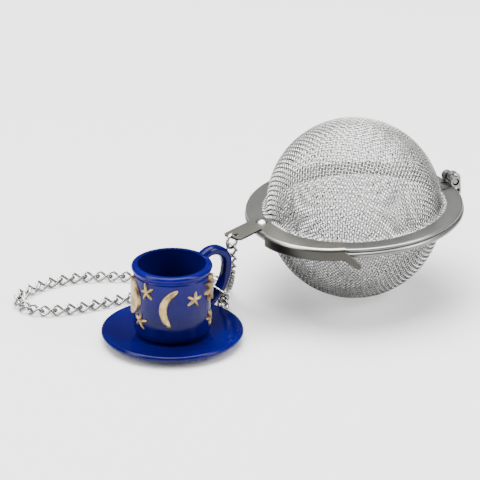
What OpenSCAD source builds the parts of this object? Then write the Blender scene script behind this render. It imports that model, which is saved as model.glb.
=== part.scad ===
// Mesh ball tea infuser with a side latch, a chain and a teacup charm.
// Millimetres, +Z up. The origin is on the table, straight below the centre of the ball.

/* [Mesh ball] */
// Outer radius of each woven hemisphere
ball_r = 25; // [20:0.5:32]
// Thickness of the woven mesh
mesh_t = 0.4; // [0.3:0.05:0.6]
// Height of each hemisphere's centre away from the parting plane
dome_lift = 0.9; // [0.8:0.05:1.4]
// Radius of the flare where the mesh turns out into the rim, at its middle surface
flare_r = 1.5; // [1.2:0.1:2]
// Lean of the resting ball, down towards the latch
ball_lean = 2.5; // [0:0.5:5]

/* [Rims] */
// Width of the flat rim outside the flare
rim_w = 4.7; // [4.2:0.1:6]
// Thickness of the sheet that is folded round the mesh
sheet_t = 0.3; // [0.25:0.05:0.5]
// Width of the fold's solid edge outside the mesh
fold_w = 0.9; // [0.6:0.1:1.4]
// Extra inward reach of each rim's hidden sheet
collar_w = 0.8; // [0.4:0.1:1]
// Radius of the rolled bead on the lower rim
bead_r = 0.8; // [0.6:0.05:1]
// Gap between the two closed rims
rim_gap = 0.1; // [0.06:0.02:0.2]

/* [Hinge] */
// Direction of the hinge, from the ball's axis
hinge_az = 23; // [0:1:60]
// Length of the curled barrel
barrel_len = 6.4; // [5:0.2:9]
// Diameter of the hole through the barrel
barrel_bore = 2.1; // [1.9:0.1:2.6]
// Thickness of the barrel's strip
barrel_t = 0.5; // [0.4:0.05:0.7]
// Diameter of the hinge pin
pin_d = 1.4; // [1.2:0.1:1.6]
// Distance from each end of the pin to the barrel's end
pin_inset = 0.4; // [0.2:0.1:0.8]
// Width of the strap that hooks over the pin
strap_w = 2; // [1.4:0.1:2.6]
// Thickness of the strap
strap_t = 0.4; // [0.3:0.05:0.5]
// Reach of the strap's bow outside the pin
strap_reach = 2.6; // [2.2:0.1:3]

/* [Latch] */
// Thickness of the latch's sheet
latch_t = 0.5; // [0.4:0.05:0.7]
// Width of the tail
tail_w = 6.4; // [4:0.2:8]
// Length of the tail from the rivet
tail_len = 13; // [10:0.5:18]
// Direction of the tail
tail_az = 228; // [215:1:240]
// Where the hook starts along the rim, from the rivet
hook_start = 16; // [12:1:24]
// Where the hook ends along the rim, from the rivet
hook_end = 61; // [44:1:75]
// Outer radius of the hook's own bend round the rim
hook_r = 24; // [20:0.5:30]
// Width of the flat strip on top of the hook
strip_w = 3.7; // [3:0.1:4.5]
// Radius of the bends from the strip to the wall and from the wall to the lip
bend_r = 1.1; // [0.9:0.1:1.4]
// Inward reach of the hook's lower lip
lip_w = 2.4; // [2:0.1:3]
// Length of the finger tab
tab_len = 4.6; // [3:0.2:6]
// Diameter of the rivet's shank
rivet_d = 1.6; // [1.2:0.1:2]
// Radius of the rivet's domed head
rivet_head_r = 1.8; // [1.4:0.05:2.2]
// Diameter of the hole for the jump ring
tail_hole_d = 2; // [1.6:0.1:2.2]
// Distance from that hole's centre to the tail's end
tail_hole_in = 1.7; // [1.5:0.1:2.2]
// Sliding clearance over and under the rims
slide_gap = 0.12; // [0.1:0.02:0.3]
// Clearance between the lower rim and the hook at its ends
side_gap = 0.16; // [0.12:0.02:0.4]

/* [Chain] */
// Distance from one link to the next
pitch = 3.7; // [3:0.1:4.4]
// Wire diameter of a link
link_wire = 0.68; // [0.5:0.02:0.8]
// Outer width of a link
link_w = 3.5; // [3:0.1:4.2]
// Clearance between the wires of two links, along the chain
link_gap = 0.14; // [0.1:0.02:0.2]
// Wire diameter of the jump ring
jump_wire = 0.85; // [0.7:0.05:0.95]
// Outer diameter of the jump ring
jump_od = 4.8; // [4.4:0.1:5.4]
// Wire diameter of the charm's ring
end_wire = 0.8; // [0.6:0.05:1]
// Outer diameter of the charm's ring
end_od = 6.4; // [6.2:0.1:7.4]

/* [Charm] */
// Outer radius of the saucer
saucer_r = 19.9; // [17:0.1:24]
// Height of the saucer's rim
saucer_h = 3.5; // [3:0.1:5]
// Thickness of the saucer's edge
saucer_edge = 1.6; // [1.2:0.1:2]
// Height of the cup's lip above the table
cup_top = 23.2; // [19:0.1:28]
// Outer radius of the cup's straight wall
cup_r = 10.7; // [9:0.1:13]
// Thickness of the cup's wall
cup_wall = 1.2; // [1:0.1:1.6]
// Direction of the handle, from the cup's axis
handle_az = 36; // [25:1:50]
// Thickness of the handle
handle_t = 2.7; // [2.2:0.1:3]
// Width of the handle
handle_w = 3.4; // [2.8:0.1:3.8]
// Height of the gold reliefs over the cup's wall
relief_h = 0.8; // [0.5:0.1:1.2]

/* [Hidden] */
$fn = 96;

// Parting plane and the heights measured from it
part_z = ball_r + dome_lift;
rim_t = 2 * sheet_t + mesh_t;
half_gap = rim_gap / 2;
flange_mid = half_gap + rim_t / 2;
flare_z = flange_mid + flare_r;
mesh_mid_r = ball_r - mesh_t / 2;
// The flare touches the hemisphere and the flat flange
flare_rise = dome_lift - flare_z;
flare_x = sqrt(pow(mesh_mid_r + flare_r, 2) - pow(flare_rise, 2));
flare_angle = asin(-flare_rise / (mesh_mid_r + flare_r));
rim_in = flare_x + 0.05;
rim_r = rim_in + rim_w;
mesh_out = rim_r - fold_w;
bead_mid = rim_r - bead_r + 0.3;
rim_top = half_gap + rim_t;
rim_out = bead_mid + bead_r;

// Hinge axis, from the ball's axis and the parting plane
barrel_r = barrel_bore / 2 + barrel_t;
hinge_r = rim_r - 0.2;
hinge_lift = 0.15;
hinge_z = rim_top + barrel_r + hinge_lift;
strap_clear = 0.2;
pin_fit = 0.05;
strap_curl_r = pin_d / 2 + pin_fit + strap_t;

// Rivet and latch
rivet_r = rim_in + 2.3;
rivet_az = hinge_az + 180;
plate_z = rim_top + slide_gap;
plate_top = plate_z + latch_t;
lobe_r = rivet_r - rim_in + 0.45;
lip_z = -half_gap - 2 * bead_r - slide_gap - latch_t;
shank_fit = 0.04;
rivet_seat = 0.05;
rivet_tail_r = rivet_head_r - 0.25;
// The hook's bend has its own centre, on the rim's middle angle under the hook
hook_mid = 32;
hook_from = rim_out + side_gap + latch_t;
function hook_centre(a) =
    hook_from * cos(a) - sqrt(hook_r * hook_r - pow(hook_from * sin(a), 2));
hook_c = hook_centre(hook_end - hook_mid);
function hook_reach(a) = hook_c * cos(a) + sqrt(hook_r * hook_r - pow(hook_c * sin(a), 2));
// Turns an angle along the rim into one about the hook's centre
function hook_turn(a) =
    atan2(hook_reach(a - hook_mid) * sin(a - hook_mid),
        hook_reach(a - hook_mid) * cos(a - hook_mid) - hook_c);
hook_a0 = hook_turn(hook_start);
hook_a1 = hook_turn(hook_end);

// Jump ring, hung from the strip between the tail's hole and its end
tail_strip = tail_len - (tail_hole_in - tail_hole_d / 2) / 2;
jump_r = (jump_od - jump_wire) / 2;
jump_drop = jump_r - jump_wire / 2 - latch_t / 2 - 0.12;

// Chain
link_in = pitch + 2 * link_gap;
link_bend_r = (link_w - link_wire) / 2;
link_straight = link_in + link_wire - 2 * link_bend_r;
link_roll = 45;
floor_z = link_bend_r * sin(link_roll) + link_wire / 2 + 0.15;
// How much steeper the hanging run's first link is than its middle
drop_spread = 0.2;
drop_share = 0.8;
drop_az = 95;
// Runs on the table: number of links, and turn at each link
far_runs = [[4, 21], [7, 0]];
bend_runs = [[7, 8]];
turn_runs = [[5, 26]];
near_runs = [[3, 7], [3, 0], [3, -8], [3, 0]];
last_runs = [[3, -30]];
rise_spread = 0.15;
rise_share = 0.8;

// Cup, saucer and handle
saucer_foot_r = 11;
saucer_foot_h = 1;
cup_foot_z = 2.2;
cup_bottom_curve = 2.6;
lip_r = 0.85;
lip_mid = cup_r + 0.6 - lip_r;
cup_in_r = cup_r - cup_wall;
cup_floor = cup_foot_z + 2.4;
handle_top_r = 5;
handle_low_r = 12;
handle_mid_r = cup_r + 2.9;
handle_mid_z = cup_top - 4.6;
handle_low_mid = handle_mid_r + handle_top_r - handle_low_r;
handle_low_arc = 52;
ring_at = 40;
ring_slack = 0.45;
end_r = (end_od - end_wire) / 2;
relief_r = cup_r + relief_h;

// Sum of a list up to an index
function total(v, n, i = 0) = i >= n ? 0 : v[i] + total(v, n, i + 1);
// The turn at each link of a list of runs, one after another
function turns(runs) = [for (run = runs) for (k = [1:run[0]]) run[1]];
function count(runs) = len(turns(runs));

// Steps down or up: the rise of each link as a share of its length
function slopes(n, rise, spread) = [
    for (i = [0:n - 1]) rise / (n * pitch) + spread * (1 - 2 * i / (n - 1))
];

// A point given from the ball's axis and the parting plane, after the ball leans
function lean(p) =
    let (
        q = [p.x * cos(hinge_az) + p.y * sin(hinge_az), -p.x * sin(hinge_az) + p.y * cos(hinge_az)],
        h = p.z - ball_r,
        r = [q.x * cos(ball_lean) - h * sin(ball_lean), q.x * sin(ball_lean) + h * cos(ball_lean)]
    )
    [
        r.x * cos(hinge_az) - q.y * sin(hinge_az),
        r.x * sin(hinge_az) + q.y * cos(hinge_az),
        r.y + ball_r
    ];
strip_at = lean([
    rivet_r * cos(rivet_az) + tail_strip * cos(tail_az),
    rivet_r * sin(rivet_az) + tail_strip * sin(tail_az),
    part_z + plate_z + latch_t / 2
]);
jump_at = strip_at - [0, 0, jump_drop];
chain_start = jump_at - [0, 0, jump_r - jump_wire / 2 - link_gap / 2];

// Handle's lower limb and the ring round it, from the charm's axis and the table
limb_at = [
    handle_low_mid + handle_low_r * cos(ring_at),
    handle_mid_z - handle_low_r * sin(ring_at)
];
ring_mid = limb_at + ring_slack * [cos(ring_at), -sin(ring_at)];
end_slack = 0.3;
ring_inner = end_r - end_wire / 2 - end_slack;
chain_end_rz = ring_mid + ring_inner * [cos(ring_at), -sin(ring_at)];

table_turns = concat(
    turns(far_runs), turns(bend_runs), turns(turn_runs), turns(near_runs), turns(last_runs)
);
table_n = len(table_turns);
// Enough links in the hanging runs that none has to be steeper than upright
drop_n = ceil((chain_start.z - floor_z) / (drop_share * pitch));
rise_n = ceil((chain_end_rz.y - floor_z) / (rise_share * pitch));
link_n = drop_n + table_n + rise_n;
last_az = drop_az + total(table_turns, table_n);
drop_slopes = slopes(drop_n, chain_start.z - floor_z, drop_spread);
rise_slopes = slopes(rise_n, chain_end_rz.y - floor_z, rise_spread);

// Direction of each link: its heading and its rise
headings = concat(
    [for (s = drop_slopes) [drop_az, -s]],
    [for (i = [0:table_n - 1]) [drop_az + total(table_turns, i + 1), 0]],
    [for (s = rise_slopes) [last_az, s]]
);
function step(h) = pitch * [
    cos(h[0]) * sqrt(1 - h[1] * h[1]), sin(h[0]) * sqrt(1 - h[1] * h[1]), h[1]
];
function walk(at, i = 0) = i == link_n ? [at] : concat([at], walk(at + step(headings[i]), i + 1));
joints_at = walk(chain_start);

// The charm stands where the chain ends
chain_end = joints_at[link_n];
charm_at = [
    chain_end.x - chain_end_rz.x * cos(handle_az),
    chain_end.y - chain_end_rz.x * sin(handle_az)
];

// First link of each group
far_first = drop_n;
bend_first = far_first + count(far_runs);
turn_first = bend_first + count(bend_runs);
near_first = turn_first + count(turn_runs);
riser_first = near_first + count(near_runs);

// ---- Ball ----

module leaning() {
    translate([0, 0, ball_r])
        rotate([0, 0, hinge_az])
            rotate([0, -ball_lean, 0])
                rotate([0, 0, -hinge_az])
                    translate([0, 0, dome_lift])
                        children();
}

// The lower half is the upper half turned over about the parting plane
module lower() {
    mirror([0, 0, 1]) children();
}

module mesh_profile() {
    edge = 2 * ball_r;
    flange_z = flange_mid - mesh_t / 2;
    // Hemisphere above the flare
    translate([0, dome_lift])
        intersection() {
            difference() {
                circle(ball_r, $fn = 180);
                circle(ball_r - mesh_t, $fn = 180);
            }
            polygon([
                [0, 0], [edge * cos(flare_angle), edge * sin(flare_angle)],
                [edge, edge], [0, edge]
            ]);
        }
    // Flare
    translate([flare_x, flare_z])
        intersection() {
            difference() {
                circle(flare_r + mesh_t / 2);
                circle(flare_r - mesh_t / 2);
            }
            polygon([
                [0, 0], [-edge * cos(flare_angle), -edge * sin(flare_angle)], [-edge, -edge],
                [0, -edge]
            ]);
        }
    // Flat flange, held in the rim's fold
    translate([flare_x, flange_z])
        square([mesh_out - flare_x, mesh_t]);
}

module mesh_half() {
    difference() {
        rotate_extrude($fn = 180) mesh_profile();
        rivet_hole(rivet_d / 2 + shank_fit);
    }
}

module rivet_hole(r) {
    rotate([0, 0, rivet_az])
        translate([rivet_r, 0, 0])
            cylinder(h = 2 * rim_top, r = r, center = true, $fn = 48);
}

// Sheet folded round the mesh's edge
module rim_profile() {
    slot_in = rim_in - 2 * collar_w;
    difference() {
        union() {
            translate([rim_in - collar_w, half_gap])
                square([rim_r - rim_t / 2 - rim_in + collar_w, sheet_t]);
            translate([rim_in, half_gap])
                square([rim_r - rim_t / 2 - rim_in, rim_t]);
            translate([rim_r - rim_t / 2, half_gap + rim_t / 2])
                circle(rim_t / 2, $fn = 48);
        }
        translate([slot_in, half_gap + sheet_t])
            square([mesh_out - slot_in, mesh_t]);
    }
}

module upper_mesh() {
    color("gainsboro") leaning() mesh_half();
}

module lower_mesh() {
    color("gainsboro") leaning() lower() rotate_extrude($fn = 180) mesh_profile();
}

module upper_ring() {
    color("silver") leaning()
        difference() {
            rotate_extrude($fn = 180) rim_profile();
            rivet_hole(rivet_d / 2 + shank_fit);
            rotate([0, 0, rivet_az])
                translate([rivet_r, 0, 0])
                    cylinder(h = 2 * (half_gap + sheet_t), r = rivet_tail_r + shank_fit,
                        center = true, $fn = 48);
        }
}

module lower_ring() {
    color("silver") leaning() lower()
        rotate_extrude($fn = 180) {
            difference() {
                union() {
                    rim_profile();
                    translate([bead_mid, half_gap + bead_r]) circle(bead_r, $fn = 48);
                }
                translate([rim_in, half_gap + sheet_t]) square([mesh_out - rim_in, mesh_t]);
            }
        }
}

// ---- Hinge ----

module at_hinge() {
    leaning() rotate([0, 0, hinge_az]) children();
}

module along_pin(length, r) {
    translate([hinge_r, 0, hinge_z])
        rotate([90, 0, 0])
            cylinder(h = length, r = r, center = true, $fn = 64);
}

module hinge_tongue() {
    slot_w = strap_w + 2 * strap_clear;
    slot_in = strap_reach + 0.3;
    root = 4.6;
    color("silver") at_hinge()
        difference() {
            union() {
                translate([hinge_r - root, -barrel_len / 2, rim_top])
                    cube([root, barrel_len, barrel_t]);
                along_pin(barrel_len, barrel_r);
            }
            along_pin(2 * barrel_len, barrel_bore / 2);
            translate([hinge_r - slot_in, -slot_w / 2, rim_top - 1])
                cube([slot_in + 2 * barrel_r, slot_w, 3 * barrel_r]);
            // Rounded inner corners
            for (side = [-1, 1])
                translate([hinge_r - root, side * barrel_len / 2, rim_top])
                    difference() {
                        cube([2, 2, 3 * barrel_t], center = true);
                        translate([1, -side, 0])
                            cylinder(h = 4 * barrel_t, r = 1, center = true, $fn = 32);
                    }
        }
}

module hinge_pin() {
    color("dimgray") at_hinge() along_pin(barrel_len - 2 * pin_inset, pin_d / 2);
}

// The strap runs out from under the lower rim, bows up outside both rims and curls over the pin
module hinge_strap() {
    bow_mid = [hinge_r, hinge_z];
    leg_x = hinge_r + strap_reach - strap_t;
    bead_z = -half_gap - bead_r;
    foot_in = bead_mid - bead_r;
    foot_z = bead_z - bead_r - strap_t;
    foot_seat = 0.25;
    color("silver") at_hinge()
        rotate([90, 0, 0])
            linear_extrude(height = strap_w, center = true)
                difference() {
                    union() {
                        // Curl round the pin
                        translate(bow_mid) circle(strap_curl_r, $fn = 64);
                        // Bow over the curl and down outside the rims
                        translate([hinge_r + (strap_reach - strap_curl_r) / 2, hinge_z])
                            intersection() {
                                difference() {
                                    circle((strap_reach + strap_curl_r) / 2);
                                    circle((strap_reach + strap_curl_r) / 2 - strap_t);
                                }
                                translate([-2 * strap_reach, 0])
                                    square([4 * strap_reach, 2 * strap_reach]);
                            }
                        translate([leg_x, foot_z])
                            square([strap_t, hinge_z - foot_z]);
                        // Foot soldered under the lower rim's bead
                        translate([foot_in, foot_z])
                            square([leg_x + strap_t - foot_in, strap_t + foot_seat]);
                    }
                    translate(bow_mid) circle(pin_d / 2 + pin_fit, $fn = 64);
                    // Clear of the bead
                    translate([bead_mid, bead_z]) circle(bead_r, $fn = 48);
                }
}

// ---- Latch ----

module rivet() {
    tail_seat = half_gap + 0.02;
    seat = plate_top + rivet_seat;
    dome_h = 0.75;
    dome_r = (rivet_head_r * rivet_head_r + dome_h * dome_h) / (2 * dome_h);
    color("white") leaning()
        rotate([0, 0, rivet_az])
            translate([rivet_r, 0, 0]) {
                translate([0, 0, tail_seat])
                    cylinder(h = seat - tail_seat, r = rivet_d / 2, $fn = 48);
                translate([0, 0, tail_seat])
                    cylinder(h = sheet_t - 0.04, r = rivet_tail_r, $fn = 48);
                // Domed head
                intersection() {
                    translate([0, 0, seat + dome_h - dome_r]) sphere(dome_r);
                    translate([0, 0, seat]) cylinder(h = dome_h, r = 2 * rivet_head_r);
                }
            }
}

// A ring's sector, from one angle to another
module band(r_in, r_out, from, to) {
    intersection() {
        difference() {
            circle(r_out, $fn = 180);
            circle(r_in, $fn = 180);
        }
        polygon(concat([[0, 0]], [for (i = [0:6])
            2 * r_out * [cos(from + (to - from) * i / 6), sin(from + (to - from) * i / 6)]
        ]));
    }
}

module at_rivet() {
    rotate([0, 0, rivet_az]) translate([rivet_r, 0, 0]) children();
}

// Centre of the hook's bend, with X along the middle of the hook
module at_hook() {
    rotate([0, 0, rivet_az + hook_mid]) translate([hook_c, 0, 0]) children();
}

// Straight tail with rounded end corners
module tail_shape() {
    corner = 1.2;
    rotate([0, 0, tail_az - rivet_az]) {
        translate([0, -tail_w / 2]) square([tail_len - corner, tail_w]);
        translate([tail_len - 2 * corner, corner - tail_w / 2])
            square([2 * corner, tail_w - 2 * corner]);
        for (side = [-1, 1])
            translate([tail_len - corner, side * (tail_w / 2 - corner)])
                circle(corner, $fn = 32);
    }
}

module latch_plate_shape() {
    flat_r = hook_r - bend_r;
    strip_r = flat_r - strip_w;
    // Where the strip leaves the bend, in the hook's own angle
    sweep = hook_a0 + 24;
    // Hook's centre, seen from the rivet
    hc = [hook_c * cos(hook_mid) - rivet_r, hook_c * sin(hook_mid)];
    difference() {
        union() {
            at_rivet() {
                circle(lobe_r, $fn = 48);
                tail_shape();
                // Sweeps from the rivet across the rim to the strip
                polygon([
                    0.9 * lobe_r * [cos(128), sin(128)],
                    hc + (strip_r + 0.02) * [cos(hook_mid + sweep), sin(hook_mid + sweep)],
                    hc + (flat_r + 0.2) * [cos(hook_mid + sweep), sin(hook_mid + sweep)],
                    hc + (flat_r + 0.2) * [cos(hook_mid + sweep - 12), sin(hook_mid + sweep - 12)],
                    hc + (flat_r + 0.2) * [cos(hook_mid + hook_a0), sin(hook_mid + hook_a0)],
                    0.8 * lobe_r * [cos(12), sin(12)]
                ]);
            }
            at_hook() band(strip_r, flat_r + 0.3, sweep - 1, hook_a1);
        }
        at_rivet() {
            circle(rivet_d / 2 + pin_fit, $fn = 48);
            rotate([0, 0, tail_az - rivet_az])
                translate([tail_len - tail_hole_in, 0])
                    circle(tail_hole_d / 2, $fn = 48);
        }
    }
}

// Bend, wall, bend and lip, in one section
module hook_profile() {
    flat_r = hook_r - bend_r;
    wall_top = plate_top - bend_r;
    wall_foot = lip_z + bend_r;
    translate([flat_r - 0.3, plate_z]) square([0.3, latch_t]);
    translate([hook_r - latch_t, wall_foot]) square([latch_t, wall_top - wall_foot]);
    translate([hook_r - lip_w, lip_z]) square([lip_w - bend_r, latch_t]);
    for (corner = [[wall_top, 0], [wall_foot, -bend_r]])
        translate([flat_r, corner[0]])
            intersection() {
                difference() {
                    circle(bend_r, $fn = 64);
                    circle(bend_r - latch_t, $fn = 64);
                }
                translate([0, corner[1]]) square(bend_r);
            }
}

module latch_lever() {
    color("lightslategray") leaning() {
        translate([0, 0, plate_z]) linear_extrude(height = latch_t) latch_plate_shape();
        at_hook()
            rotate([0, 0, hook_a0])
                rotate_extrude(angle = hook_a1 - hook_a0, $fn = 180) hook_profile();
        finger_tab();
    }
}

// Tapering tab, bent out from the hook's open end
module finger_tab() {
    root_h = 2.8;
    drop = 3;
    tip_r = 0.9;
    outward = 28;
    knuckle_r = latch_t / 2 + 0.06;
    at_hook()
        rotate([0, 0, hook_a1])
            translate([hook_r - latch_t / 2, 0, plate_top - bend_r]) {
                translate([0, 0, -root_h]) cylinder(h = root_h, r = knuckle_r, $fn = 32);
                rotate([90, 0, 90 - outward])
                    translate([0, 0, -latch_t / 2])
                        linear_extrude(height = latch_t) {
                            polygon([
                                [0, 0], [0, -root_h],
                                [tab_len - 1.6 * tip_r, -drop - 1.8 * tip_r],
                                [tab_len - 0.3 * tip_r, -drop - 0.3 * tip_r]
                            ]);
                            translate([tab_len - tip_r, -drop - tip_r]) circle(tip_r, $fn = 32);
                        }
            }
}

// ---- Chain ----

module torus(r, wire) {
    rotate_extrude() translate([r, 0]) circle(wire / 2, $fn = 24);
}

module jump_ring() {
    color("silver")
        translate(jump_at)
            rotate([0, 0, tail_az])
                rotate([90, 0, 0])
                    torus(jump_r, jump_wire);
}

// One oval link along X, with its middle at the origin
module link() {
    for (side = [0, 180])
        rotate([0, 0, side])
            translate([link_straight / 2, 0, 0])
                rotate([0, 0, -90])
                    rotate_extrude(angle = 180, $fn = 48)
                        translate([link_bend_r, 0]) circle(link_wire / 2, $fn = 20);
    for (side = [-1, 1])
        translate([0, side * link_bend_r, 0])
            rotate([0, 90, 0])
                cylinder(h = link_straight, r = link_wire / 2, center = true, $fn = 20);
}

module links(first, last) {
    color("silver")
        for (i = [first:last])
            translate((joints_at[i] + joints_at[i + 1]) / 2)
                rotate([0, 0, headings[i][0]])
                    rotate([0, -asin(headings[i][1]), 0])
                        rotate([(link_n - i) % 2 == 1 ? link_roll : -link_roll, 0, 0])
                            link();
}

module chain_drop() {
    links(0, far_first - 1);
}

module chain_far() {
    links(far_first, bend_first - 1);
}

module chain_far_bend() {
    links(bend_first, turn_first - 1);
}

module chain_turn() {
    links(turn_first, near_first - 1);
}

module chain_near() {
    links(near_first, riser_first - 1);
}

module chain_riser() {
    links(riser_first, link_n - 1);
}

// ---- Charm ----

module at_charm() {
    translate([charm_at.x, charm_at.y, 0]) children();
}

module end_ring() {
    color("silver") at_charm()
        rotate([0, 0, handle_az])
            translate([ring_mid.x, 0, ring_mid.y])
                rotate([0, ring_at, 0])
                    torus(end_r, end_wire);
}

module charm_saucer() {
    edge = saucer_edge / 2;
    well_r = cup_r + 0.6;
    rim_mid = saucer_r - edge;
    rim_z = saucer_h - edge;
    color("mediumblue") at_charm()
        rotate_extrude($fn = 180) {
            square([saucer_foot_r, cup_foot_z]);
            // Sloping wall from the foot to the rim
            polygon([
                [0, saucer_foot_h], [saucer_foot_r, 0],
                [rim_mid, rim_z - edge], [rim_mid, rim_z + edge],
                [well_r, cup_foot_z], [0, cup_foot_z]
            ]);
            translate([rim_mid, rim_z]) circle(edge, $fn = 48);
        }
}

// Outside of the cup, as a filled outline
module cup_outline() {
    curve = cup_bottom_curve;
    groove_r = 0.5;
    difference() {
        union() {
            translate([0, cup_foot_z]) square([cup_r - curve, curve]);
            translate([0, cup_foot_z + curve]) square([cup_r, cup_top - lip_r - cup_foot_z - curve]);
            translate([cup_r - curve, cup_foot_z + curve]) circle(curve, $fn = 64);
            translate([0, cup_top - 2 * lip_r]) square([lip_mid, 2 * lip_r]);
            translate([lip_mid, cup_top - lip_r]) circle(lip_r, $fn = 48);
        }
        translate([cup_r + 0.25, cup_top - 2 * lip_r - groove_r]) circle(groove_r, $fn = 48);
    }
}

// The outline's half beside the axis
module cup_half() {
    intersection() {
        cup_outline();
        square([2 * cup_r, cup_top]);
    }
}

module charm_cup() {
    inner_curve = 2;
    color("mediumblue") at_charm()
        rotate_extrude($fn = 180)
            difference() {
                cup_half();
                translate([0, cup_floor + inner_curve]) square([cup_in_r, cup_top]);
                translate([0, cup_floor]) square([cup_in_r - inner_curve, cup_top]);
                translate([cup_in_r - inner_curve, cup_floor + inner_curve])
                    circle(inner_curve, $fn = 48);
            }
}

// The handle's band, as it is cut across
module handle_section(mid_r) {
    side = (handle_w - handle_t) / 2;
    translate([mid_r, 0]) {
        square([handle_t, 2 * side], center = true);
        for (s = [-side, side]) translate([0, s]) circle(handle_t / 2, $fn = 32);
    }
}

module charm_handle() {
    color("mediumblue") at_charm()
        rotate([0, 0, handle_az])
            difference() {
                rotate([90, 0, 0]) {
                    // Over the top
                    translate([handle_mid_r, handle_mid_z, 0])
                        rotate_extrude(angle = 165, $fn = 72) handle_section(handle_top_r);
                    // Down to the wall
                    translate([handle_low_mid, handle_mid_z, 0])
                        rotate([0, 0, -handle_low_arc])
                            rotate_extrude(angle = handle_low_arc, $fn = 120)
                                handle_section(handle_low_r);
                    translate([handle_low_mid, handle_mid_z, 0])
                        rotate([0, 0, -handle_low_arc])
                            translate([handle_low_r, 0, 0])
                                rotate([90, 0, 0])
                                    linear_extrude(height = 7)
                                        translate([-handle_low_r, 0])
                                            handle_section(handle_low_r);
                }
                rotate_extrude($fn = 180) cup_half();
            }
}

// Pushes a flat shape out along X and keeps what stands on the cup's wall
module relief(az, z, turn = 0) {
    intersection() {
        rotate([0, 0, az])
            translate([0, 0, z])
                rotate([90, 0, 90])
                    linear_extrude(height = 2 * cup_r)
                        rotate([0, 0, turn]) children();
        difference() {
            cylinder(h = cup_top, r = relief_r, $fn = 180);
            translate([0, 0, -1]) cylinder(h = cup_top + 2, r = cup_r, $fn = 180);
        }
    }
}

module charm_moon() {
    color("darkkhaki") at_charm()
        relief(-90, 13.8)
            difference() {
                translate([2.6, 0]) circle(6.4);
                translate([7.7, -1.2]) circle(9.1);
            }
}

// A star with a round middle and tapering rays
module star(points, r, middle) {
    circle(middle, $fn = 24);
    for (k = [0:points - 1])
        rotate([0, 0, 360 * k / points + 90])
            polygon([[0, -middle * 0.8], [r, -0.15], [r, 0.15], [0, middle * 0.8]]);
}

// Direction, height and turn of each small star
star_places = [
    [-128.6, 18.1, 12], [-143.9, 8.7, -8], [-54.3, 16.1, -12], [-15.3, 8.1, 20],
    [60, 9, 0], [95, 17, 15], [140, 8.5, -15]
];

module charm_stars() {
    color("darkkhaki") at_charm()
        for (place = star_places)
            relief(place[0], place[1], place[2]) star(5, 2.7, 0.85);
}

module charm_sun() {
    color("darkkhaki") at_charm()
        relief(-12, 17, 10) star(8, 3.9, 2);
}

module charm_disc() {
    color("darkkhaki") at_charm()
        relief(-172, 14.5) circle(5.2);
}

upper_mesh();
upper_ring();
hinge_tongue();
rivet();
lower_mesh();
lower_ring();
hinge_strap();
hinge_pin();
latch_lever();
jump_ring();
chain_drop();
chain_far();
chain_far_bend();
chain_turn();
chain_near();
chain_riser();
end_ring();
charm_saucer();
charm_cup();
charm_handle();
charm_moon();
charm_stars();
charm_sun();
charm_disc();
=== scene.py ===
import math

import bpy
import numpy as np
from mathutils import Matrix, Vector


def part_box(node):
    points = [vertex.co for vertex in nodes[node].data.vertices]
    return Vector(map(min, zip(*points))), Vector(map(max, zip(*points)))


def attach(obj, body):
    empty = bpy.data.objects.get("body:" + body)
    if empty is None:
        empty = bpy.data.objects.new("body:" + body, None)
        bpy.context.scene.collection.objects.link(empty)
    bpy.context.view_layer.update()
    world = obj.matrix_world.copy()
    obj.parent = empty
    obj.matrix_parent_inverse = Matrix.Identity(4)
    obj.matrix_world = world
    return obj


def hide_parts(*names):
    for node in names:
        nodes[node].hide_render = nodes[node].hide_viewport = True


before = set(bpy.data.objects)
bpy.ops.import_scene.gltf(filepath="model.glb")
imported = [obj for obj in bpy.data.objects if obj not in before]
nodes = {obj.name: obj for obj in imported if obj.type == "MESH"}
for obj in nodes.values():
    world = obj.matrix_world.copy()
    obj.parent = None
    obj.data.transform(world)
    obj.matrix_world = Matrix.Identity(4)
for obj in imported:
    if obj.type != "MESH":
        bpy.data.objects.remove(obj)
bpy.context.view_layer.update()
rng = np.random.default_rng(7)
MM = 0.001

# Sizes of the mesh ball, the same as the CAD's
BALL_R = 25.0
MESH_T = 0.4
DOME_LIFT = 0.9
FLARE_R = 1.5
SHEET_T = 0.3
RIM_GAP = 0.1
LEAN = math.radians(2.5)
HINGE_AZ = math.radians(23)


# ---- Camera, floor and light ----

CAMERA_AT = (-0.0326, -0.8809, 0.3984)
CAMERA_TARGET = (-0.0326, 0.0363, 0.0)
CAMERA_LENS = 251.4
CAMERA_SENSOR = 36.0
FLOOR_HALF = 3.0
# Name, place, the point it faces, width and height, and power of each lamp
LAMPS = (
    ("top", (-0.1, 0.1, 0.9), (-0.03, 0, 0.02), (0.9, 0.9), 26),
    ("left", (-0.75, -0.35, 0.45), (-0.03, 0, 0.02), (0.35, 0.7), 7),
    ("right", (0.7, -0.3, 0.5), (0, 0, 0.02), (0.3, 0.6), 7))
# Brightness of the surroundings, from straight down at 0 to straight up at 1
SKY = ((0.0, 0.5), (0.46, 0.14), (0.56, 0.06), (0.7, 0.22), (1.0, 1.1))
SKY_STRENGTH = 0.9


def link(obj):
    bpy.context.scene.collection.objects.link(obj)
    return obj


def aim(obj, target):
    obj.rotation_euler = (Vector(target) - obj.location).to_track_quat("-Z", "Y").to_euler()


def add_camera():
    data = bpy.data.cameras.new("camera")
    data.sensor_width = CAMERA_SENSOR
    data.lens = CAMERA_LENS
    data.clip_start = 0.05
    data.clip_end = 20.0
    cam = link(bpy.data.objects.new("camera", data))
    cam.location = CAMERA_AT
    aim(cam, CAMERA_TARGET)
    bpy.context.scene.camera = cam


def add_light(name, at, target, size, power):
    data = bpy.data.lights.new(name, "AREA")
    data.shape = "RECTANGLE"
    data.size, data.size_y = size
    data.energy = power
    lamp = link(bpy.data.objects.new(name, data))
    lamp.location = at
    aim(lamp, target)


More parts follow.
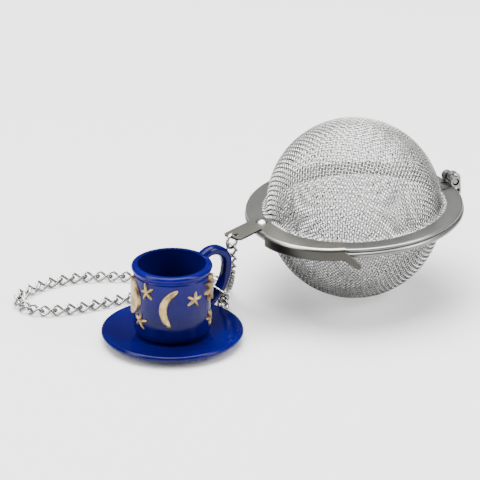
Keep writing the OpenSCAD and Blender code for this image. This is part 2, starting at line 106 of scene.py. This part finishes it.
def add_world():
    world = bpy.data.worlds.new("studio")
    world.use_nodes = True
    tree = world.node_tree
    back = tree.nodes["Background"]
    coords = tree.nodes.new("ShaderNodeTexCoord")
    split = tree.nodes.new("ShaderNodeSeparateXYZ")
    ramp = tree.nodes.new("ShaderNodeValToRGB")
    for element, (at, value) in zip(ramp.color_ramp.elements, (SKY[0], SKY[-1])):
        element.position = at
        element.color = (value, value, value, 1)
    for at, value in SKY[1:-1]:
        ramp.color_ramp.elements.new(at).color = (value, value, value, 1)
    height = tree.nodes.new("ShaderNodeMapRange")
    height.inputs["From Min"].default_value = -1.0
    tree.links.new(coords.outputs["Generated"], split.inputs[0])
    tree.links.new(split.outputs["Z"], height.inputs["Value"])
    tree.links.new(height.outputs[0], ramp.inputs["Fac"])
    tree.links.new(ramp.outputs["Color"], back.inputs["Color"])
    back.inputs["Strength"].default_value = SKY_STRENGTH
    bpy.context.scene.world = world


def add_stage():
    mesh = bpy.data.meshes.new("floor")
    half = FLOOR_HALF
    corners = [(-half, -half, 0), (half, -half, 0), (half, half, 0), (-half, half, 0)]
    mesh.from_pydata(corners, [], [(0, 1, 2, 3)])
    floor = link(bpy.data.objects.new("floor", mesh))
    mat = bpy.data.materials.new("floor")
    mat.use_nodes = True
    bsdf = mat.node_tree.nodes["Principled BSDF"]
    bsdf.inputs["Base Color"].default_value = (0.97, 0.97, 0.97, 1)
    bsdf.inputs["Roughness"].default_value = 0.6
    mesh.materials.append(mat)


# ---- Materials ----

class Shader:
    """A principled material with helpers for its procedural detail."""

    def __init__(self, name, **values):
        self.mat = bpy.data.materials.new(name)
        self.mat.use_nodes = True
        self.tree = self.mat.node_tree
        self.bsdf = self.tree.nodes["Principled BSDF"]
        self.coords = self.node("ShaderNodeTexCoord")
        for key, value in values.items():
            self.bsdf.inputs[key.replace("_", " ")].default_value = value

    def node(self, kind, **values):
        made = self.tree.nodes.new(kind)
        for key, value in values.items():
            made.inputs[key.replace("_", " ")].default_value = value
        return made

    def join(self, a, out, b, into):
        self.tree.links.new(a.outputs[out], b.inputs[into])

    def noise(self, scale, detail):
        noise = self.node("ShaderNodeTexNoise", Scale=scale, Detail=detail)
        self.join(self.coords, "Object", noise, "Vector")
        return noise

    def tint(self, noise, stops):
        """Colours the piece by a noise: each stop is a place from 0 to 1 and a colour."""
        ramp = self.node("ShaderNodeValToRGB")
        first, last = ramp.color_ramp.elements[0], ramp.color_ramp.elements[1]
        first.position, first.color = stops[0][0], (*stops[0][1], 1)
        last.position, last.color = stops[-1][0], (*stops[-1][1], 1)
        for at, colour in stops[1:-1]:
            ramp.color_ramp.elements.new(at).color = (*colour, 1)
        self.join(noise, "Fac", ramp, "Fac")
        self.join(ramp, "Color", self.bsdf, "Base Color")

    def paint_facing_shade(self, dark, start, stop):
        """Painted shade: darkens what doesn't face up in the piece's own frame, down to a share of its
        colour, so that sides and undersides look shaded and tops look lit.
        """
        colour = self.bsdf.inputs["Base Color"].links[0].from_socket
        split = self.node("ShaderNodeSeparateXYZ")
        share = self.node("ShaderNodeMapRange")
        share.interpolation_type = "SMOOTHSTEP"
        for key, value in (("From Min", start), ("From Max", stop), ("To Min", dark), ("To Max", 1.0)):
            share.inputs[key].default_value = value
        scale = self.node("ShaderNodeVectorMath")
        scale.operation = "SCALE"
        self.join(self.coords, "Normal", split, 0)
        self.join(split, "Z", share, "Value")
        self.tree.links.new(colour, scale.inputs[0])
        self.tree.links.new(share.outputs["Result"], scale.inputs["Scale"])
        self.join(scale, 0, self.bsdf, "Base Color")

    def rough(self, noise, low, high):
        """Varies the roughness by a noise, most of which lies from 0.3 to 0.7."""
        spread = self.node("ShaderNodeMapRange")
        spread.inputs["From Min"].default_value = 0.3
        spread.inputs["From Max"].default_value = 0.7
        spread.inputs["To Min"].default_value = low
        spread.inputs["To Max"].default_value = high
        self.join(noise, "Fac", spread, "Value")
        self.join(spread, "Result", self.bsdf, "Roughness")

    def bump(self, noise, strength, distance):
        bump = self.node("ShaderNodeBump", Strength=strength, Distance=distance)
        self.join(noise, "Fac", bump, "Height")
        self.join(bump, "Normal", self.bsdf, "Normal")


def wire_steel():
    s = Shader("woven_wire", Metallic=1.0)
    soft = s.noise(90, 4)
    s.tint(soft, ((0.3, (0.62, 0.62, 0.6)), (0.7, (0.82, 0.82, 0.8))))
    # Painted shade: the wires' sides and undersides are darkened to 0.12 of their colour, against
    # their lit tops
    s.paint_facing_shade(0.12, -0.1, 0.8)
    s.rough(s.noise(260, 2), 0.22, 0.36)
    return s.mat


def satin_steel(name, dark, light, low, high, side):
    s = Shader(name, Metallic=1.0)
    s.tint(s.noise(70, 3), ((0.3, dark), (0.7, light)))
    # Painted shade: sides and undersides are darkened to the share side of the colour
    s.paint_facing_shade(side, 0.2, 0.85)
    s.rough(s.noise(260, 2), low, high)
    return s.mat


def chrome_wire():
    s = Shader("chain_wire", Metallic=1.0)
    s.tint(s.noise(300, 4), ((0.3, (0.5, 0.5, 0.47)), (0.62, (0.78, 0.78, 0.75))))
    # Painted shade: the links' sides and undersides are darkened to 0.1 of their colour, against their
    # lit tops
    s.paint_facing_shade(0.1, -0.2, 0.8)
    s.rough(s.noise(420, 3), 0.16, 0.28)
    return s.mat


def blue_resin():
    s = Shader("blue_resin", Coat_Weight=0.1, Coat_Roughness=0.05, Specular_IOR_Level=0.1)
    s.tint(s.noise(70, 4), (
        (0.3, (0.001, 0.0, 0.05)), (0.55, (0.0015, 0.0, 0.08)), (0.75, (0.003, 0.001, 0.13))))
    s.rough(s.noise(220, 3), 0.1, 0.24)
    s.bump(s.noise(240, 3), 0.4, 0.0001)
    return s.mat


def gold_paint():
    s = Shader("gold_paint", Metallic=0.9)
    s.tint(s.noise(420, 5), (
        (0.3, (0.13, 0.08, 0.03)), (0.5, (0.36, 0.25, 0.11)), (0.72, (0.58, 0.44, 0.23))))
    s.rough(s.noise(600, 3), 0.26, 0.5)
    s.bump(s.noise(520, 4), 0.4, 0.0001)
    return s.mat


def paint(material, *names):
    for name in names:
        mesh = nodes[name].data
        mesh.materials.clear()
        mesh.materials.append(material)


# ---- Woven hemispheres ----

MESH_MID = BALL_R - MESH_T / 2
FLANGE_Z = RIM_GAP / 2 + SHEET_T + MESH_T / 2
FLARE_Z = FLANGE_Z + FLARE_R
FLARE_RISE = FLARE_Z - DOME_LIFT
FLARE_X = math.sqrt((MESH_MID + FLARE_R) ** 2 - FLARE_RISE ** 2)
FLARE_ANGLE = math.asin(FLARE_RISE / (MESH_MID + FLARE_R))
DOME_TURN = math.pi / 2 - FLARE_ANGLE
# The flare bends back by as much as the dome turns, so that its edge lies flat
FLARE_TURN = DOME_TURN
DOME_LEN = DOME_TURN * MESH_MID
FLARE_LEN = FLARE_TURN * FLARE_R
# Length of cloth hidden in the rim's fold
TUCK = 1.6
REACH = DOME_LEN + FLARE_LEN + TUCK
WIRE_PITCH = 1.0
WIRE_R = 0.15
WIRE_SIDES = 5
# How far a wire swings to each side of the cloth, as a share of its radius
WEAVE_SWING = 0.92
# Least share of that swing, at the hidden edge of the cloth
EDGE_SWING = 0.25
# Direction of the wires of each half, about the ball's own axis
UPPER_TURN = math.radians(-14)
LOWER_TURN = math.radians(38)


def sheet_point(run):
    """Radius, height, and the outward normal's radius and height, at a length from the pole."""
    turn = np.minimum(run, DOME_LEN) / MESH_MID
    r, z = MESH_MID * np.sin(turn), DOME_LIFT + MESH_MID * np.cos(turn)
    nr, nz = np.sin(turn), np.cos(turn)
    flare = run > DOME_LEN
    bend = np.clip((run - DOME_LEN) / FLARE_R, 0, FLARE_TURN)
    angle = math.pi + FLARE_ANGLE + bend
    r = np.where(flare, FLARE_X + FLARE_R * np.cos(angle), r)
    z = np.where(flare, FLARE_Z + FLARE_R * np.sin(angle), z)
    nr = np.where(flare, -np.cos(angle), nr)
    nz = np.where(flare, -np.sin(angle), nz)
    past = np.maximum(run - DOME_LEN - FLARE_LEN, 0)
    return r + past, z, nr, nz


def lean_points(points):
    """From the ball's own axis, measured from the parting plane, to the frame."""
    c, s = math.cos(HINGE_AZ), math.sin(HINGE_AZ)
    cl, sl = math.cos(LEAN), math.sin(LEAN)
    x = points[..., 0] * c + points[..., 1] * s
    y = -points[..., 0] * s + points[..., 1] * c
    z = points[..., 2] + DOME_LIFT
    x, z = x * cl - z * sl, x * sl + z * cl
    return np.stack([x * c - y * s, x * s + y * c, z + BALL_R], -1)


def wire_path(index, along_u, turn):
    """Centre line and normals of one wire of the cloth, or None where it would be too short."""
    off = index * WIRE_PITCH
    half = math.sqrt(max(REACH ** 2 - off ** 2, 0))
    if half < 2 * WIRE_PITCH:
        return None
    steps = int(2 * half / (WIRE_PITCH / 2)) + 1
    first = math.ceil(-half / (WIRE_PITCH / 2))
    t = (first + np.arange(steps)) * WIRE_PITCH / 2
    t = t[np.abs(t) <= half]
    u, v = (t, np.full_like(t, off)) if along_u else (np.full_like(t, off), t)
    run = np.hypot(u, v)
    az = np.arctan2(v, u) + turn
    r, z, nr, nz = sheet_point(run)
    side = 1 if along_u else -1
    lift = side * np.cos(math.pi * (t / WIRE_PITCH + index)) * WIRE_R * WEAVE_SWING
    flat = np.clip((REACH - run) / TUCK, EDGE_SWING, 1)
    normal = np.stack([nr * np.cos(az), nr * np.sin(az), nz], -1)
    centre = np.stack([r * np.cos(az), r * np.sin(az), z], -1) + normal * (lift * flat)[:, None]
    return centre, normal


def ring_faces(rings, sides, closed=False):
    """Quads between each ring of points and the next, and from the last to the first if closed."""
    i = np.arange(rings if closed else rings - 1)[:, None]
    k = np.arange(sides)[None]
    j, m = (i + 1) % rings, (k + 1) % sides
    return np.stack([i * sides + k, i * sides + m, j * sides + m, j * sides + k], -1).reshape(-1, 4)


def tube(centre, normal, radius, sides):
    """Points and faces of a wire that follows a centre line."""
    along = np.gradient(centre, axis=0)
    along /= np.linalg.norm(along, axis=1)[:, None]
    across = np.cross(along, normal)
    across /= np.linalg.norm(across, axis=1)[:, None]
    up = np.cross(across, along)
    turn = np.arange(sides) * 2 * math.pi / sides
    ring = (np.cos(turn)[None, :, None] * up[:, None] + np.sin(turn)[None, :, None] * across[:, None])
    points = centre[:, None] + radius * ring
    return points.reshape(-1, 3), ring_faces(len(centre), sides)


def mesh_object(name, parts, material):
    """One object from several (points in mm, quads)."""
    points, faces, base = [], [], 0
    for p, f in parts:
        points.append(p)
        faces.append(f + base)
        base += len(p)
    points = np.concatenate(points) * MM
    faces = np.concatenate(faces)
    mesh = bpy.data.meshes.new(name)
    mesh.vertices.add(len(points))
    mesh.vertices.foreach_set("co", points.astype(np.float32).ravel())
    mesh.loops.add(faces.size)
    mesh.loops.foreach_set("vertex_index", faces.astype(np.int32).ravel())
    mesh.polygons.add(len(faces))
    mesh.polygons.foreach_set("loop_start", np.arange(0, faces.size, 4, dtype=np.int32))
    mesh.polygons.foreach_set("use_smooth", np.ones(len(faces), dtype=bool))
    mesh.update()
    mesh.validate()
    mesh.materials.append(material)
    return link(bpy.data.objects.new(name, mesh))


def weave(half, body, node, turn, material):
    """Both sets of wires of one half of the ball. The lower half is mirrored."""
    count = int(REACH / WIRE_PITCH)
    for along_u, kind in ((True, "weft"), (False, "warp")):
        parts = []
        for index in range(-count, count + 1):
            path = wire_path(index, along_u, turn)
            if path is None:
                continue
            centre, normal = path
            if half == "lower":
                centre = centre * (1, 1, -1)
                normal = normal * (1, 1, -1)
            points, faces = tube(centre, normal, WIRE_R, WIRE_SIDES)
            parts.append((lean_points(points), faces))
        cloth = mesh_object(f"{half}_{kind}", parts, material)
        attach(cloth, body)
        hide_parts(node)


# ---- Chain ----

# Wire and width of the CAD's plain links
LINK_WIRE = 0.68
LINK_W = 3.5
# The visible wire is a little fuller
LINK_ROUND = 0.72
# Roll of each link's ends about its length, one way and the other
LINK_TWIST = math.radians(45)
# A link's straight sides take the parts of its turn where the cosine is within 1 / SIDE_STEEP of 0
SIDE_STEEP = 4
LINK_STEPS = 44
LINK_SIDES = 10
CHAIN = (
    ("chain_drop", "drop_chain"), ("chain_far", "far_strand"), ("chain_far_bend", "far_bend"),
    ("chain_turn", "chain_turn"), ("chain_near", "near_strand"), ("chain_riser", "riser"))


def loose_parts(obj):
    """Points in mm of each separate solid of a CAD object, whose faces don't share vertices."""
    mesh = obj.data
    points = np.empty(len(mesh.vertices) * 3)
    mesh.vertices.foreach_get("co", points)
    points = points.reshape(-1, 3) / MM
    edges = np.empty(len(mesh.edges) * 2, dtype=np.int64)
    mesh.edges.foreach_get("vertices", edges)
    points, same = np.unique(points.round(4), axis=0, return_inverse=True)
    edges = same.ravel()[edges].reshape(-1, 2)
    group = np.arange(len(points))
    while True:
        low = group.copy()
        np.minimum.at(low, edges[:, 0], group[edges[:, 1]])
        np.minimum.at(low, edges[:, 1], group[edges[:, 0]])
        low = low[low]
        if (low == group).all():
            break
        group = low
    return [points[group == g] for g in np.unique(group)]


def link_frame(points):
    """Middle, long axis, flat normal and length of one link."""
    middle = (points.min(0) + points.max(0)) / 2
    for _ in range(2):
        axes = np.linalg.eigh(np.cov((points - middle).T))[1]
        local = (points - middle) @ axes
        middle = middle + axes @ ((local.min(0) + local.max(0)) / 2)
    return middle, axes[:, 2], axes[:, 0], np.ptp(local[:, 2])


def twisted_link(middle, along, up, length, first_roll, last_roll):
    """A link whose two ends are rolled about its long axis."""
    across = np.cross(up, along)
    bend = (LINK_W - LINK_WIRE) / 2
    half = (length - LINK_WIRE) / 2 - bend
    turn = np.arange(LINK_STEPS) * 2 * math.pi / LINK_STEPS
    x = bend * np.cos(turn) + half * np.clip(SIDE_STEEP * np.cos(turn), -1, 1)
    y = bend * np.sin(turn)
    share = np.clip(x / (2 * (half + 0.5 * bend)) + 0.5, 0, 1)
    share = share * share * (3 - 2 * share)
    roll = first_roll + (last_roll - first_roll) * share
    flat = np.cos(roll)[:, None] * across + np.sin(roll)[:, None] * up
    centre = middle + x[:, None] * along + y[:, None] * flat
    ahead = np.roll(centre, -1, 0) - np.roll(centre, 1, 0)
    ahead /= np.linalg.norm(ahead, axis=1)[:, None]
    normal = np.cross(along[None], flat)
    side = np.cross(ahead, normal)
    side /= np.linalg.norm(side, axis=1)[:, None]
    top = np.cross(side, ahead)
    wire_turn = np.arange(LINK_SIDES) * 2 * math.pi / LINK_SIDES
    ring = (np.cos(wire_turn)[None, :, None] * top[:, None]
            + np.sin(wire_turn)[None, :, None] * side[:, None])
    points = centre[:, None] + LINK_ROUND / 2 * ring
    return points.reshape(-1, 3), ring_faces(LINK_STEPS, LINK_SIDES, closed=True)


def chain_order(middles):
    """Indices of the links from the jump ring to the charm, each next one the nearest left."""
    left = list(range(len(middles)))
    order = [max(left, key=lambda i: middles[i][2])]
    left.remove(order[0])
    while left:
        at = middles[order[-1]]
        order.append(min(left, key=lambda i: np.linalg.norm(middles[i] - at)))
        left.remove(order[-1])
    return order


def add_chain(material):
    """Curb links, twisted so that each one lies flat, in the places of the CAD's plain links."""
    run = []
    for node, _ in CHAIN:
        for points in loose_parts(nodes[node]):
            run.append((node,) + link_frame(points))
    order = chain_order([entry[1] for entry in run])
    # A link can lie four ways up. Each takes the way nearest to its neighbour's, from the charm back
    up = np.array((0.0, 0.0, 1.0))
    middles = [run[i][1] for i in order]
    frames = {}
    for place in reversed(range(len(order))):
        node, middle, along, normal, length = run[order[place]]
        before = middles[max(place - 1, 0)]
        after = middles[min(place + 1, len(order) - 1)]
        along = along * np.sign(np.dot(along, after - before))
        turned = [normal * math.cos(a) + np.cross(along, normal) * math.sin(a)
                  for a in np.radians((45, 135, 225, 315))]
        up = max(turned, key=lambda v: np.dot(v, up))
        frames[place] = (node, middle, along, up, length, normal)
    parts = {}
    last = len(order) - 1
    for place, (node, middle, along, up, length, normal) in frames.items():
        first_roll, last_roll = LINK_TWIST, -LINK_TWIST
        if place in (0, last):
            # The chain's two ends keep the roll of the CAD's links, which fit their rings
            across = np.cross(up, along)
            flat = np.cross(normal, along)
            own = math.atan2(np.dot(flat, up), np.dot(flat, across))
            own = (own + math.pi / 2) % math.pi - math.pi / 2
            first_roll, last_roll = (own, last_roll) if place == 0 else (first_roll, own)
        parts.setdefault(node, []).append(
            twisted_link(middle, along, up, length, first_roll, last_roll))
    for node, body in CHAIN:
        strand = mesh_object(node + "_links", parts[node], material)
        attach(strand, body)
        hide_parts(node)


# ---- Raised figures on the cup ----

CUP_LIP = 0.6
RELIEF_H = 0.85
RELIEF_SINK = -0.15
MOON = ((1.9, 19.5), (-0.9, 17.2), (-2.3, 14.0), (-1.8, 10.7), (-0.4, 8.2))
MOON_HALF = 1.15
MOON_STEPS = 40
# Width at the moon's tips, as a share of its middle
MOON_TIP = 0.72
# Direction, height and turn of each star
STARS = (
    (-128.6, 18.1, 12), (-143.9, 8.7, -8), (-54.3, 16.1, -12), (-15.3, 8.1, 20),
    (60, 9, 0), (95, 17, 15), (140, 8.5, -15))
STAR_RAYS = 5
STAR_R = 2.6
STAR_HALF = 0.78
STAR_RISE = 1.25 * RELIEF_H
# A ray starts behind the star's middle, and swells between two places just past its ends
RAY_START = -0.22
RAY_ZEROS = (-0.24, 1.02)
# Random spread of each ray: degrees of direction, and shares of its length
RAY_SWAY = 6
RAY_LENGTHS = (0.88, 1.06)


def smooth_path(knots, count):
    """Catmull-Rom curve through some knots."""
    knots = np.array(knots, float)
    knots = np.concatenate([[2 * knots[0] - knots[1]], knots, [2 * knots[-1] - knots[-2]]])
    path = []
    for t in np.linspace(0, len(knots) - 3 - 1e-6, count):
        i = int(t)
        f = t - i
        a, b, c, d = knots[i:i + 4]
        path.append(0.5 * (2 * b + (c - a) * f + (2 * a - 5 * b + 4 * c - d) * f * f
                           + (3 * b - a - 3 * c + d) * f ** 3))
    return np.array(path)


def pillow(path, half, height, sides=14):
    """A closed rounded ridge on the wall: across, out from the wall, and up."""
    ahead = np.gradient(path, axis=0)
    ahead /= np.linalg.norm(ahead, axis=1)[:, None]
    across = np.stack([-ahead[:, 1], ahead[:, 0]], -1)
    turn = np.arange(sides) * 2 * math.pi / sides
    flat = path[:, None] + across[:, None] * (half[:, None] * np.cos(turn))[..., None]
    out = np.maximum(height[:, None] * np.sin(turn), RELIEF_SINK)
    points = np.stack([flat[..., 0], out, flat[..., 1]], -1)
    # Both ends are closed by quads across their ring
    caps = [[end + k, end + sides - 1 - k, end + sides - 2 - k, end + k + 1]
            for end in (0, (len(path) - 1) * sides) for k in range(sides // 2 - 1)]
    return points.reshape(-1, 3), np.concatenate([ring_faces(len(path), sides), np.array(caps)])


def on_cup(points, az):
    """Wraps points from the flat wall round the cup."""
    low, high = [np.array(v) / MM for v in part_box("charm_cup")]
    middle = (low + high) / 2
    wall = (high[0] - low[0]) / 2 - CUP_LIP
    angle = math.radians(az) + points[:, 0] / wall
    r = wall + points[:, 1]
    return np.stack([middle[0] + r * np.cos(angle), middle[1] + r * np.sin(angle), points[:, 2]], -1)


def add_moon(material):
    path = smooth_path(MOON, MOON_STEPS)
    t = np.linspace(-1, 1, MOON_STEPS)
    round_end = np.sqrt(np.maximum(1 - np.abs(t) ** 5, 0.002))
    half = MOON_HALF * (MOON_TIP + (1 - MOON_TIP) * (1 - t * t)) * round_end
    points, faces = pillow(path, half, RELIEF_H * round_end)
    moon = mesh_object("moon_relief", [(on_cup(points, -90), faces)], material)
    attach(moon, "charm")
    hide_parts("charm_moon")


def add_stars(material):
    parts = []
    for az, z, turn in STARS:
        for ray in range(STAR_RAYS):
            angle = math.radians(90 + turn + 360 * ray / STAR_RAYS + rng.uniform(-RAY_SWAY, RAY_SWAY))
            reach = STAR_R * rng.uniform(*RAY_LENGTHS)
            t = np.linspace(RAY_START, 1, 14)
            path = t[:, None] * reach * np.array([math.cos(angle), math.sin(angle)]) + (0, z)
            swell = np.sqrt(np.maximum((t - RAY_ZEROS[0]) * (RAY_ZEROS[1] - t), 0.001))
            points, faces = pillow(path, STAR_HALF * swell, STAR_RISE * swell, 10)
            parts.append((on_cup(points, az), faces))
    stars = mesh_object("star_reliefs", parts, material)
    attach(stars, "charm")
    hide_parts("charm_stars")


add_camera()
add_stage()
add_world()
for lamp in LAMPS:
    add_light(*lamp)

wire = wire_steel()
weave("upper", "upper_half", "upper_mesh", UPPER_TURN, wire)
weave("lower", "lower_half", "lower_mesh", LOWER_TURN, wire)

# The last number of each is the painted shade left on sides and undersides, as a share of the colour
rim = satin_steel("rim_satin", (0.36, 0.37, 0.35), (0.44, 0.45, 0.43), 0.29, 0.32, 0.4)
hinge = satin_steel("hinge_polish", (0.42, 0.42, 0.4), (0.6, 0.6, 0.58), 0.18, 0.3, 0.3)
# The latch's low share paints its steep wall dark, as painted shade and a painted dark reflection of
# the surroundings
latch = satin_steel("latch_satin", (0.38, 0.37, 0.32), (0.46, 0.45, 0.4), 0.28, 0.31, 0.12)
chain = chrome_wire()
blue = blue_resin()
gold = gold_paint()
paint(rim, "upper_ring", "lower_ring")
paint(hinge, "hinge_tongue", "hinge_strap", "hinge_pin", "rivet")
paint(latch, "latch_lever")
paint(chain, "jump_ring", "end_ring")
add_chain(chain)
paint(blue, "charm_saucer", "charm_cup", "charm_handle")
paint(gold, "charm_sun", "charm_disc")
add_moon(gold)
add_stars(gold)
